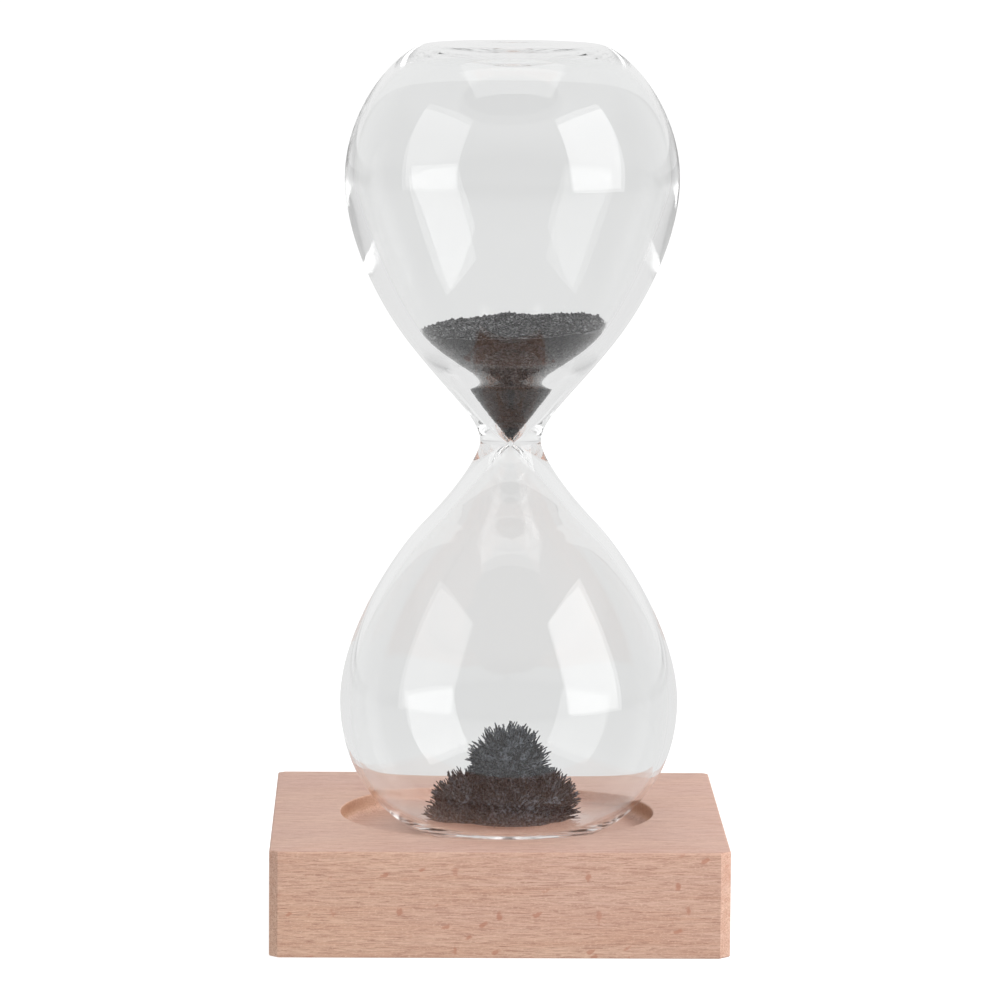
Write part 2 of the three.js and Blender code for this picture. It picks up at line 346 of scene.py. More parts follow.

# Filings: the tones of a grain's dark and of its painted highlights, its size in millimetres, and the darker
# highlights where they lie against glass instead of facing up, which is painted shade.
FINE_FILINGS = {
    "dark": srgb(6, 6, 7), "light": srgb(150, 150, 152), "grain": 0.5, "shaded_side_tone": srgb(62, 62, 64),
}
SPIKY_FILINGS = {"dark": srgb(5, 6, 7), "light": srgb(98, 102, 110), "grain": 0.5}
# After that many bounces the spikes glow in the wood's tone: painted light in place of light the glass would
# let out.
DEEP = 3  # bounces after which the glass foot shows the spikes in FOOT_GLOW_TONE
FOOT_GLOW_TONE = srgb(196, 164, 148)


def grain_colour(tree):
    """Beech cut along the grain: slow changes of tone, fine wavy broken lines, and the dust of its pores."""
    wander = speckle(tree, place(tree, LONG_GRAIN["wander"]), detail=3)
    bands = speckle(tree, place(tree, LONG_GRAIN["bands"]), detail=3, roughness=0.6, distortion=0.5)
    lines = speckle(tree, place(tree, LONG_GRAIN["lines"]), detail=5, roughness=0.7, distortion=0.9)
    pores = speckle(tree, place(tree, LONG_GRAIN["pores"]), detail=3, roughness=0.75)
    tone = blend_colours(tree, remap(tree, wander, 0.35, 0.65), LONG_TONES["pale"], LONG_TONES["rosy"])
    banded = blend_colours(tree, remap(tree, bands, 0.4, 0.75, 0, 0.7), tone, LONG_TONES["band"])
    lined = blend_colours(tree, remap(tree, lines, 0.44, 0.68), banded, LONG_TONES["line"])
    return blend_colours(tree, remap(tree, pores, 0.52, 0.72, 0, 0.6), lined, LONG_TONES["pore"]), lines


def ray_flecks(tree, flecks):
    """A mask of ray flecks: small ragged patches, one in some cells of a grid."""
    wobble = speckle(tree, place(tree, (1500, 1500, 1500)), detail=1)
    turned_grid = place(tree, flecks["grid"], (0, math.radians(flecks["tilt"]), 0))
    cells = add(tree, "ShaderNodeTexVoronoi", {"Vector": turned_grid, "Scale": 1.0})
    picked = add(tree, "ShaderNodeSeparateColor", {"Color": cells.outputs["Color"]}).outputs[0]
    ragged = calculate(tree, "ADD", cells.outputs["Distance"], remap(tree, wobble, 0.3, 0.7, -0.09, 0.09))
    patch = remap(tree, ragged, 0.33, 0.2)
    chosen = remap(tree, picked, flecks["empty"], flecks["empty"] + 0.03)
    return calculate(tree, "MULTIPLY", patch, chosen)


def end_grain_colour(tree):
    """Beech cut across the grain: nearly level growth layers, rays, and pores."""
    bending = {"Scale": 0.35, "Distortion": 1.6, "Detail": 2.0, "Detail Scale": 0.4}
    layers = {"Vector": place(tree, END_GRAIN["rings"]), **bending}
    rings = add(tree, "ShaderNodeTexWave", layers, bands_direction="Z")
    pores = speckle(tree, place(tree, END_GRAIN["pores"]), detail=2, roughness=0.7)
    rays = speckle(tree, place(tree, END_GRAIN["rays"]), detail=3, roughness=0.6)
    ringed = blend_colours(tree, rings.outputs["Fac"], END_TONES["early"], END_TONES["late"])
    rayed = blend_colours(tree, remap(tree, rays, 0.5, 0.75, 0, 0.6), ringed, END_TONES["ray"])
    return blend_colours(tree, remap(tree, pores, 0.52, 0.72, 0, 0.7), rayed, END_TONES["pore"])


def facing(tree, axis, low, high):
    """How squarely the surface faces along X (0), Y (1) or Z (2), either way, from 0 to 1."""
    normal = add(tree, "ShaderNodeNewGeometry", {}).outputs["Normal"]
    along = add(tree, "ShaderNodeSeparateXYZ", {0: normal}).outputs[axis]
    return remap(tree, calculate(tree, "ABSOLUTE", along, 0.0), low, high)


def beech_material():
    """Steamed beech with its grain along X; ray flecks show on the front and back, end grain on the sides."""
    material, tree, shader = new_material("beech", {"Roughness": 0.5, "Specular IOR Level": 0.35})
    along, lines = grain_colour(tree)
    flecks = calculate(tree, "MAXIMUM", ray_flecks(tree, SLANTED_FLECKS), ray_flecks(tree, UPRIGHT_FLECKS))
    shown = calculate(tree, "MULTIPLY", flecks, facing(tree, 1, 0.5, 0.9))
    flecked = blend_colours(tree, calculate(tree, "MULTIPLY", shown, FLECK["strength"]), along, FLECK["tone"])
    # faces that point up or down get a share of a greyer, darker tone
    level = calculate(tree, "MULTIPLY", facing(tree, 2, 0.5, 0.9), LEVEL_FACE_TONE["strength"])
    level_toned = blend_colours(tree, level, flecked, LEVEL_FACE_TONE["tone"])
    whole = blend_colours(tree, facing(tree, 0, 0.75, 0.95), level_toned, end_grain_colour(tree))
    tree.links.new(whole, shader.inputs["Base Color"])
    tree.links.new(remap(tree, lines, 0.3, 0.8, 0.42, 0.62), shader.inputs["Roughness"])
    bumped(tree, shader, lines, -0.05, 0.5)
    return material


def glass_material():
    """Clear borosilicate, waving a little as blown glass does. It casts no shade on the wood."""
    clear_glass = {"Roughness": 0.0, "IOR": 1.47, "Transmission Weight": 1.0}
    material, tree, shader = new_material("glass", {"Base Color": (0.975, 0.979, 0.978, 1.0), **clear_glass})
    waves = speckle(tree, place(tree, (45, 45, 28)), detail=1)
    bumped(tree, shader, waves, 0.25, 0.25)
    lighting = add(tree, "ShaderNodeLightPath", {}).outputs["Is Diffuse Ray"]
    clear = add(tree, "ShaderNodeBsdfTransparent", {}).outputs[0]
    passing = add(tree, "ShaderNodeMixShader", {0: lighting, 1: shader.outputs[0], 2: clear})
    tree.links.new(passing.outputs[0], tree.nodes["Material Output"].inputs["Surface"])
    return material


def filings_material(name, dark, light, grain, shaded_side_tone=None):
    """Iron filings: near black with painted highlights, rough at the size of a grain (in millimetres).

    Where they lie against glass instead of facing up, their painted highlights are darkened as painted shade.
    """
    sockets = {"Metallic": 0.55, "Roughness": 0.45, "Specular IOR Level": 0.5}
    material, tree, shader = new_material(name, sockets)
    per_metre = 1000 / grain
    specks = speckle(tree, place(tree, (per_metre,) * 3), detail=2, roughness=0.7)
    # The lighter specks are painted highlights; on faces turned sideways they take a darker tone, as painted
    # shade.
    painted_glint = light
    if shaded_side_tone is not None:
        painted_glint = blend_colours(tree, facing(tree, 2, 0.6, 0.9), shaded_side_tone, light)
    colour = blend_colours(tree, remap(tree, specks, 0.44, 0.62), dark, painted_glint)
    tree.links.new(colour, shader.inputs["Base Color"])
    tree.links.new(remap(tree, specks, 0.3, 0.7, 0.32, 0.6), shader.inputs["Roughness"])
    bumped(tree, shader, specks, 0.5 * grain, 0.8)
    return material


def wood_glow_when_deep(material, depth):
    """Makes a piece glow in the wood's tone, a painted light, along light paths that bounced more than
    `depth` times before it.

    Otherwise the edge of the glass foot shows a hard black mirror image of the filings.
    """
    material.cycles.emission_sampling = "NONE"
    tree = material.node_tree
    shader = tree.nodes["Principled BSDF"]
    met = add(tree, "ShaderNodeLightPath", {}).outputs["Ray Depth"]
    deep = calculate(tree, "GREATER_THAN", met, depth + 0.5)
    # a painted glow: the wood's colour given off as light, though the piece is no lamp
    tone = add(tree, "ShaderNodeEmission", {"Color": FOOT_GLOW_TONE, "Strength": 1.0}).outputs[0]
    mixed = add(tree, "ShaderNodeMixShader", {0: deep, 1: shader.outputs[0], 2: tone})
    tree.links.new(mixed.outputs[0], tree.nodes["Material Output"].inputs["Surface"])


def felt_material():
    """Dark pressed felt: matted fibres with a soft sheen."""
    sockets = {"Roughness": 0.95, "Specular IOR Level": 0.1, "Sheen Weight": 0.4, "Sheen Roughness": 0.6}
    material, tree, shader = new_material("felt", sockets)
    fibres = speckle(tree, place(tree, (900, 900, 900)), detail=6, roughness=0.75, distortion=1.2)
    colour = blend_colours(tree, remap(tree, fibres, 0.35, 0.65), srgb(30, 29, 29), srgb(62, 60, 58))
    tree.links.new(colour, shader.inputs["Base Color"])
    bumped(tree, shader, fibres, 0.35, 0.9)
    return material


def ferrite_material():
    """Sintered ferrite, ground flat: fine dark grain with turning marks."""
    material, tree, shader = new_material("ferrite", {"Roughness": 0.5, "Specular IOR Level": 0.5})
    grains = speckle(tree, place(tree, (2500, 2500, 2500)), detail=4, roughness=0.7)
    marks = speckle(tree, place(tree, (60, 3500, 60)), detail=2)
    colour = blend_colours(tree, remap(tree, grains, 0.3, 0.7), srgb(44, 44, 47), srgb(72, 72, 76))
    tree.links.new(colour, shader.inputs["Base Color"])
    tree.links.new(remap(tree, marks, 0.3, 0.7, 0.38, 0.6), shader.inputs["Roughness"])
    bumped(tree, shader, grains, 0.04, 0.5, bumped(tree, shader, marks, 0.02, 0.5))
    return material


def adhesive_material():
    """Cured epoxy: straw coloured, with trapped bubbles."""
    sockets = {"Roughness": 0.25, "Subsurface Weight": 0.2, "Subsurface Radius": (0.002, 0.0015, 0.001)}
    material, tree, shader = new_material("adhesive", sockets)
    clouds = speckle(tree, place(tree, (180, 180, 180)), detail=3)
    bubbles = add(tree, "ShaderNodeTexVoronoi", {"Vector": place(tree, (700, 700, 700)), "Scale": 1.0})
    colour = blend_colours(tree, clouds, srgb(222, 210, 168), srgb(204, 190, 140))
    tree.links.new(colour, shader.inputs["Base Color"])
    tree.links.new(remap(tree, clouds, 0.3, 0.7, 0.18, 0.4), shader.inputs["Roughness"])
    bumped(tree, shader, bubbles.outputs["Distance"], 0.1, 0.4)
    return material


# ---------------------------------------------------------------- the beech block

# Legs of the upright corners' chamfers, from the front left round by the right.
CHAMFERS = (1.5, 1.8, 0.8, 1.0)
ARRIS = 0.35  # how far the sharp edges are broken
RIM_ARRIS = 0.3
RECESS = {"radius": 28.0, "depth": 3.45, "fillet": 1.6}
COVER_SEAT_RADIUS = (COVER_HIGH[0] - COVER_LOW[0]) / 2 + GAP
COVER_LEDGE_Z = COVER_HIGH[2] + GAP
POCKET_RADIUS = (MAGNET_HIGH[0] - MAGNET_LOW[0]) / 2 + GAP
POCKET_TOP_Z = BED_HIGH[2] + GAP

DISC_SEGMENTS = 144
DISC_EDGES = {"cover": 0.45, "magnet": 0.4, "bed": 0.25}  # how far each disc's edges are rounded
FLUFF = {"height": 0.06, "per_metre": 2200}  # the felt's fuzz
BED_SPREAD = 0.03  # how unevenly the glue was pressed out, as a share of its radius


def block_corners():
    """The square outline's corners, with every corner cut off by its chamfer."""
    half = BLOCK_HALF
    front_left, front_right, back_right, back_left = CHAMFERS
    return np.array([
        (-half + front_left, -half), (half - front_right, -half),
        (half, -half + front_right), (half, half - back_right),
        (half - back_right, half), (-half + back_left, half),
        (-half, half - back_left), (-half, -half + front_left),
    ])


def block_directions(count=240):
    """Angles for the block's rings: even steps, and one at each corner of the outline."""
    corners = [math.atan2(y, x) for x, y in block_corners()]
    even = [a for a in np.linspace(-math.pi, math.pi, count, endpoint=False)
            if min(abs(a - c) for c in corners) > 0.4 * 2 * math.pi / count]
    return np.sort(np.array(corners + even))


def outline_reach(angle):
    """How far the outline is from the centre in one direction."""
    corners = block_corners()
    ray = np.array([math.cos(angle), math.sin(angle)])
    reaches = []
    for start, end in zip(corners, np.roll(corners, -1, axis=0)):
        normal = np.array([end[1] - start[1], start[0] - end[0]])
        if normal @ ray > 1e-9:
            reaches.append((normal @ start) / (normal @ ray))
    return min(reaches)


def block_rows():
    """(size, height, square) of each ring: from the middle of the recess, out, down and in to the pocket."""
    floor = BLOCK_TOP - RECESS["depth"]
    turn = np.linspace(0, math.pi / 2, 9)
    fillet_radius = RECESS["radius"] - RECESS["fillet"]
    fillet = [
        (fillet_radius + RECESS["fillet"] * math.sin(a), floor + RECESS["fillet"] * (1 - math.cos(a)), False)
        for a in turn
    ]
    rim = [
        (RECESS["radius"] + RIM_ARRIS * (1 - math.cos(a)), BLOCK_TOP - RIM_ARRIS * (1 - math.sin(a)), False)
        for a in turn[::2]
    ]
    top_edge = [(ARRIS * (1 - math.sin(a)), BLOCK_TOP - ARRIS * (1 - math.cos(a)), True) for a in turn[::2]]
    bottom_edge = [(ARRIS * (1 - math.cos(a)), ARRIS * (1 - math.sin(a)), True) for a in turn[::2]]
    wall = [(0, z, True) for z in np.linspace(BLOCK_TOP - ARRIS, ARRIS, 6)[1:-1]]
    under = [(COVER_SEAT_RADIUS, 0, False), (COVER_SEAT_RADIUS, COVER_LEDGE_Z, False),
             (POCKET_RADIUS, COVER_LEDGE_Z, False), (POCKET_RADIUS, POCKET_TOP_Z, False)]
    return [(fillet_radius * 0.5, floor, False), *fillet, *rim, *top_edge, *wall, *bottom_edge, *under]


def beech_block():
    """One solid block: recess above, square sides with broken edges, magnet pocket below."""
    directions = block_directions()
    reach = np.array([outline_reach(a) for a in directions])
    rays = np.column_stack([np.cos(directions), np.sin(directions)])
    vertices, rings = [(0, 0, BLOCK_TOP - RECESS["depth"])], [range(1)]
    for size, height, square in block_rows():
        distance = reach * (1 - size / BLOCK_HALF) if square else np.full(len(rays), size)
        rings.append(range(len(vertices), len(vertices) + len(rays)))
        vertices += [(x, y, height) for x, y in rays * distance[:, None]]
    rings.append(range(len(vertices), len(vertices) + 1))
    vertices.append((0, 0, POCKET_TOP_Z))
    faces = rings_to_faces(rings)
    block = make_mesh("beech_block", vertices, faces, beech_material(), sharp_angle=28)
    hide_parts("base_block")
    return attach(block, "base")


def pocket_cover():
    """The felt disc that closes the pocket, a little fluffed at its edge."""
    radius = COVER_SEAT_RADIUS - GAP
    profile = disc_profile(radius, COVER_LOW[2], COVER_HIGH[2], DISC_EDGES["cover"])
    vertices, faces = turned(profile, (0, 0, 0), DISC_SEGMENTS)
    cover = make_mesh("felt_cover", vertices, faces, felt_material())
    for vertex in cover.data.vertices:
        vertex.co += FLUFF["height"] * MM * noise.noise_vector(vertex.co * FLUFF["per_metre"])
    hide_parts("pocket_cover")
    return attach(cover, "base")


def disc_magnet():
    """The hidden ferrite disc with its rounded edges."""
    radius = POCKET_RADIUS - GAP
    profile = disc_profile(radius, MAGNET_LOW[2], MAGNET_HIGH[2], DISC_EDGES["magnet"])
    vertices, faces = turned(profile, (0, 0, 0), DISC_SEGMENTS)
    magnet = make_mesh("ferrite_magnet", vertices, faces, ferrite_material(), sharp_angle=40)
    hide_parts("base_magnet")
    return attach(magnet, "base")


def adhesive_bed():
    """Glue pressed out to an uneven edge between the magnet and the wood."""
    radius = (BED_HIGH[0] - BED_LOW[0]) / 2
    profile = disc_profile(radius, BED_LOW[2], BED_HIGH[2], DISC_EDGES["bed"])
    vertices, faces = turned(profile, (0, 0, 0), DISC_SEGMENTS)
    bed = make_mesh("epoxy_bed", vertices, faces, adhesive_material())
    for vertex in bed.data.vertices:
        around = Vector((vertex.co.x, vertex.co.y, 0)).normalized()
        spread = 1 + BED_SPREAD * noise.noise(around * 2.5)
        vertex.co.x *= spread
        vertex.co.y *= spread
    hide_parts("magnet_adhesive")
    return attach(bed, "base")


# ---------------------------------------------------------------- the glass and the filings in it

LATHE_SEGMENTS = 224
# The upper filings: their level above the waist, its tilt in degrees, the clearance to the glass, the size of
# a grain, and how many grains lie on top and against the glass.
UPPER_FILINGS = {"level": 20.9, "tilt": 2.5, "clearance": 0.35, "grain": 0.55, "top": 4200, "side": 9000}
HEAP_FOOT = 1.2  # height above the waist where the solid core of the heap starts


def hourglass():
    """The blown glass: an outer skin and the cavity's skin, with the fill hole's drop fused on."""
    centre = (AXIS_X, 0, WAIST_Z)
    outside = turned(outer_profile(), centre, LATHE_SEGMENTS)
    inside = turned(inner_profile(), centre, LATHE_SEGMENTS, flip=True)
    vertices, faces = joined(outside, inside)
    glass = make_mesh("blown_hourglass", vertices, faces, glass_material())
    glass.visible_shadow = False  # clear glass barely dims the light on what is in and behind it
    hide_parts("glass_hourglass", "fill_seal")
    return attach(glass, "timer")


def ruffle(x, y, scale, height):
    """A smooth bump field in millimetres."""
    return height * noise.noise(Vector((x / scale, y / scale, 3.7)))


def heap_level(x, y):
    """Height of the upper filings' surface above the waist."""
    slope = math.tan(math.radians(UPPER_FILINGS["tilt"]))
    return UPPER_FILINGS["level"] + slope * x + ruffle(x, y, 7.0, 0.5) + ruffle(x, y, 1.6, 0.25)


def small_grain(centre, size):
    """A crumb: a squashed octahedron turned at random."""
    axes = size * rng.uniform(0.35, 0.75, 3)
    turn = np.linalg.qr(rng.normal(size=(3, 3)))[0]
    corners = np.array([(1, 0, 0), (0, 1, 0), (-1, 0, 0), (0, -1, 0), (0, 0, 1), (0, 0, -1)]) * axes
    faces = [[i, (i + 1) % 4, 4] for i in range(4)] + [[(i + 1) % 4, i, 5] for i in range(4)]
    if np.linalg.det(turn) < 0:
        turn[:, 0] *= -1
    return corners @ turn.T + centre, faces


def heap_wall(clearance):
    """The radius of the filings' side at a height above the waist, this far inside the glass."""
    side = inner_side(UPPER_BULB, clearance)
    return lambda height: float(np.interp(height, side[:, 1], side[:, 0]))


def heap_rim(wall_radius, angle):
    """Radius and height where the filings' surface meets the glass in one direction."""
    level = UPPER_FILINGS["level"]
    for _ in range(6):
        reach = wall_radius(level)
        level = heap_level(reach * math.cos(angle), reach * math.sin(angle))
    return reach, level


def heap_body(wall_radius, segments=160, rows=40, top_rows=22):
    """The heap's solid core: up the side to the rim, then in over the top."""
    angles = np.arange(segments) * 2 * math.pi / segments
    rims = [heap_rim(wall_radius, a) for a in angles]
    vertices, rings = [(0, 0, HEAP_FOOT)], [range(1)]
    for k in range(rows + top_rows):
        rings.append(range(len(vertices), len(vertices) + segments))
        for a, (reach, level) in zip(angles, rims):
            if k <= rows:
                height = HEAP_FOOT + (level - HEAP_FOOT) * k / rows
                radius = wall_radius(height)
            else:
                radius = reach * (1 - (k - rows) / top_rows)
                height = heap_level(radius * math.cos(a), radius * math.sin(a))
            vertices.append((radius * math.cos(a), radius * math.sin(a), height))
    rings.append(range(len(vertices), len(vertices) + 1))
    vertices.append((0, 0, heap_level(0, 0)))
    return vertices, rings_to_faces(rings)


def top_grains(wall_radius):
    """Grains strewn over the sloping top."""
    reach = wall_radius(UPPER_FILINGS["level"])
    for _ in range(UPPER_FILINGS["top"]):
        distance, a = reach * math.sqrt(rng.uniform()), rng.uniform(0, 2 * math.pi)
        x, y = distance * math.cos(a), distance * math.sin(a)
        size = UPPER_FILINGS["grain"] * rng.uniform(0.6, 1.6)
        level = heap_level(x, y) + 0.2 * size
        if distance < wall_radius(level) - size:
            yield small_grain(np.array([x, y, level]), size)


def side_grains(wall_radius):
    """Grains pressed against the glass, as many per area all the way up."""
    heights = np.linspace(0.6, UPPER_FILINGS["level"], 200)
    share = np.cumsum([wall_radius(h) for h in heights])
    for _ in range(UPPER_FILINGS["side"]):
        height = float(np.interp(rng.uniform() * share[-1], share, heights))
        a = rng.uniform(0, 2 * math.pi)
        size = UPPER_FILINGS["grain"] * rng.uniform(0.5, 1.1)
        radius = wall_radius(height) - rng.uniform(-0.1, 0.12)
        if height < heap_level(radius * math.cos(a), radius * math.sin(a)) and radius > size * 0.5:
            yield small_grain(np.array([radius * math.cos(a), radius * math.sin(a), height]), size * 0.7)


def upper_heap():
    """The filings that have not run through: they fill the funnel and end in an uneven sloping top."""
    wall_radius = heap_wall(UPPER_FILINGS["clearance"])
    vertices, faces = joined(heap_body(wall_radius), *top_grains(wall_radius), *side_grains(wall_radius))
    vertices = np.array(vertices) + (AXIS_X, 0, WAIST_Z)
    look = filings_material("filings_fine", **FINE_FILINGS)
    heap = make_mesh("upper_filings", vertices, faces, look, sharp_angle=30)
    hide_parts("filings_upper")
    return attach(heap, "timer")


# The cluster's lumps: x, y, radius across and deep, the height where each lump's dome starts, and its top.
LUMPS = (
    {"x": 0.1, "y": 0.0, "across": 5.9, "deep": 5.7, "shoulder": 9.6, "top": 15.2},
    {"x": -6.7, "y": -0.4, "across": 6.4, "deep": 6.4, "shoulder": 0.8, "top": 7.8},
    {"x": 6.1, "y": 0.2, "across": 5.0, "deep": 6.2, "shoulder": 3.0, "top": 7.6},
    {"x": 0.4, "y": -4.6, "across": 7.4, "deep": 5.2, "shoulder": 0.8, "top": 7.0},
    {"x": 0.0, "y": 4.8, "across": 8.2, "deep": 5.0, "shoulder": 0.8, "top": 7.6},
    {"x": -10.8, "y": -2.4, "across": 3.2, "deep": 3.8, "shoulder": 0.1, "top": 2.2},
)
SEAT = {"gap": 0.12, "bent": 3.0}  # clearance above the glass floor, and the height up to which it bends
# Needles: the usual length and how far it varies, the radius near the root and the tip and how far it varies,
# how many stand on a square millimetre, how deep they are rooted and how much they bend.
NEEDLE = {
    "length": 2.0, "lengths": (0.45, 1.4), "root": 0.14, "tip": 0.11, "widths": (0.7, 1.25), "per_mm2": 2.6,
    "rooted": 0.5, "sway": 0.08,
}
# Where needles point: outwards, plus this much up, with their bundle and at random, but always up by `rise`.
LEAN = {"up": 0.3, "bundle": 0.75, "random": 0.12, "rise": 0.05, "bundles_per_mm": 0.8}


def lump_height(lump, x, y):
    """Height of a lump over a point of the floor, below 0 outside it."""
    inside = 1 - ((x - lump["x"]) / lump["across"]) ** 2 - ((y - lump["y"]) / lump["deep"]) ** 2
    if inside <= 0:
        return -1.0
    return lump["shoulder"] + (lump["top"] - lump["shoulder"]) * math.sqrt(inside)


def buried(point, lumps):
    """True where a point lies inside another lump."""
    return any(point[2] < lump_height(lump, point[0], point[1]) - 0.05 for lump in lumps)


def lump_points(lump):
    """Evenly spread points over a lump, each with its outward direction: first the dome, then the wall."""
    across, deep = lump["across"], lump["deep"]
    dome = lump["top"] - lump["shoulder"]
    mean = (across + deep) / 2
    count = int(NEEDLE["per_mm2"] * math.pi * (mean**2 + mean * dome))
    for _ in range(count):
        level, a = rng.uniform(), rng.uniform(0, 2 * math.pi)
        ring = math.sqrt(1 - level * level)
        unit = np.array([math.cos(a) * ring, math.sin(a) * ring, level])
        point = unit * (across, deep, dome) + (lump["x"], lump["y"], lump["shoulder"])
        yield point, unit / (across, deep, dome)
    for _ in range(int(NEEDLE["per_mm2"] * 2 * math.pi * mean * lump["shoulder"])):
        a = rng.uniform(0, 2 * math.pi)
        unit = np.array([math.cos(a), math.sin(a), 0])
        height = (0, 0, rng.uniform(0, lump["shoulder"]))
        yield unit * (across, deep, 0) + (lump["x"], lump["y"], 0) + height, unit / (across, deep, 1)


def needle(root, direction, length, radius):
    """A bent four-sided spike, closed at both ends."""
    direction = direction / np.linalg.norm(direction)
    side = np.cross(direction, (0.3, 0.9, 0.31))
    side /= np.linalg.norm(side)
    other = np.cross(direction, side)
    sway = (side * rng.normal() + other * rng.normal()) * NEEDLE["sway"] * length
    tip_radius = radius * NEEDLE["tip"] / NEEDLE["root"]
    stations = ((0.0, radius * 0.8, 0.0), (0.6, radius, 0.4), (0.94, tip_radius, 1.0))
    vertices = []
    for share, thickness, bent in stations:
        centre = root + direction * length * share + sway * bent
        vertices += [centre + thickness * (side * math.cos(a) + other * math.sin(a))
                     for a in np.arange(4) * math.pi / 2]
    vertices.append(root + direction * length + sway * 1.1)
    faces = [[3, 2, 1, 0]]
    for ring in (0, 4):
        faces += [[ring + i, ring + (i + 1) % 4, ring + 4 + (i + 1) % 4, ring + 4 + i] for i in range(4)]
    faces += [[8 + i, 8 + (i + 1) % 4, 12] for i in range(4)]
    return vertices, faces


def lump_body(lump, segments=40, rows=14):
    """A lump's dark core, which shows between the needles."""
    turn = np.linspace(0, math.pi / 2, rows)
    outline = [(share, 0) for share in np.linspace(0, 1, 9)] + [(1, lump["shoulder"])]
    dome = lump["top"] - lump["shoulder"]
    outline += [(math.cos(a), lump["shoulder"] + dome * math.sin(a)) for a in turn[1:-1]] + [(0, lump["top"])]
    vertices, faces = turned(outline, (0, 0, 0), segments)
    shaped = []
    for x, y, z in vertices:
        rough = 1 + 0.05 * noise.noise(Vector((x * 4, y * 4, z / 2)) + Vector((lump["x"], lump["y"], 0)))
        shaped.append((lump["x"] + x * lump["across"] * rough, lump["y"] + y * lump["deep"] * rough, z))
    return shaped, faces


def seated(vertices):
    """Sets the cluster on the glass floor, which its dimple lifts in the middle. Only the foot is bent."""
    x, y, height = np.array(vertices).T
    radius = np.minimum(np.hypot(x, y), DIMPLE["radius"])
    lift = dimple_depth(radius) + SEAT["gap"]
    foot = np.clip(1 - height / SEAT["bent"], 0, 1)
    middle = 0.5 * DIMPLE["depth"]
    placed = np.maximum(height + middle + (lift - middle) * foot, lift)
    return np.column_stack([x + AXIS_X, y, placed + CAVITY_FLOOR_Z])


def spiky_cluster():
    """The fallen filings over the magnet: needles that stand out along its field."""
    parts = [lump_body(lump) for lump in LUMPS]
    up = np.array([0, 0, 1.0])
    for lump in LUMPS:
        others = [other for other in LUMPS if other is not lump]
        for point, normal in lump_points(lump):
            if buried(point, others):
                continue
            normal = normal / np.linalg.norm(normal)
            bundle = np.array(noise.noise_vector(Vector(point) * LEAN["bundles_per_mm"]))
            direction = normal + LEAN["up"] * up + LEAN["bundle"] * bundle
            direction = direction + rng.normal(size=3) * LEAN["random"]
            direction[2] = max(direction[2], LEAN["rise"])
            length = NEEDLE["length"] * rng.uniform(*NEEDLE["lengths"])
            radius = NEEDLE["root"] * rng.uniform(*NEEDLE["widths"])
            parts.append(needle(point - normal * NEEDLE["rooted"], direction, length, radius))
    vertices, faces = joined(*parts)
    vertices = seated(vertices)
    look = filings_material("filings_spiky", **SPIKY_FILINGS)
    # the spikes glow in the wood's tone on deep paths, a painted light
    wood_glow_when_deep(look, DEEP)
    cluster = make_mesh("filings_cluster", vertices, faces, look, sharp_angle=50)
    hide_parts("filings_lower")
    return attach(cluster, "spikes")


# ---------------------------------------------------------------- studio

# The studio's sheets, in millimetres: half their width, and the height of the table's, just under the floor.
SHEET_HALF = 6000
TABLE_Z = -0.5


def flat_sheet(name, half, height, material):
    """A square sheet of the studio, not part of the object."""
    corners = [(-half, -half, height), (half, -half, height), (half, half, height), (-half, half, height)]
    sheet = make_mesh(name, corners, [[0, 1, 2, 3]], material)
    return sheet


def floor():
    """The pale floor that the camera sees, with soft shadows round the object."""
    sockets = {"Base Color": (0.35, 0.35, 0.35, 1), "Roughness": 0.9, "Specular IOR Level": 0.0,
               "Emission Color": (1, 1, 1, 1), "Emission Strength": 0.82}
    material, _, _ = new_material("floor", sockets)
    sheet = flat_sheet("floor", SHEET_HALF, 0, material)
    sheet.visible_transmission = False
    sheet.visible_glossy = False
    sheet.visible_diffuse = False


# How bright the studio's table is, and over which metres it changes: along Y in front and at the back, and to
# either side along X, where it falls to a share of itself.
TABLE_LIGHT = {"front": 0.4, "near": 0.8, "back": 0.79, "aside": 0.7}
TABLE_EDGES = {"front": (-0.8, -0.2), "back": (0.19, 0.25), "aside": (0.45, 1.2)}


def table():
    """The table and backdrop as the glass shows them. The camera sees the floor instead."""
    sockets = {"Base Color": (0, 0, 0, 1), "Roughness": 1.0, "Specular IOR Level": 0.0}
    material, tree, shader = new_material("table", sockets)
    spot = add(tree, "ShaderNodeSeparateXYZ", {0: add(tree, "ShaderNodeTexCoord", {}).outputs["Object"]})
    along = spot.outputs[1]
    across = calculate(tree, "ABSOLUTE", spot.outputs[0], 0.0)
    front = remap(tree, along, *TABLE_EDGES["front"], TABLE_LIGHT["front"], TABLE_LIGHT["near"], "SMOOTHSTEP")
    dimmed = TABLE_LIGHT["back"] / TABLE_LIGHT["near"]
    back = remap(tree, along, *TABLE_EDGES["back"], 1.0, dimmed, "SMOOTHSTEP")
    aside = remap(tree, across, *TABLE_EDGES["aside"], 1.0, TABLE_LIGHT["aside"], "SMOOTHSTEP")
    shader.inputs["Emission Color"].default_value = (1, 1, 1, 1)
    lit = calculate(tree, "MULTIPLY", calculate(tree, "MULTIPLY", front, back), aside)
    tree.links.new(lit, shader.inputs["Emission Strength"])
    sheet = flat_sheet("table", SHEET_HALF, TABLE_Z, material)
    sheet.visible_camera = False


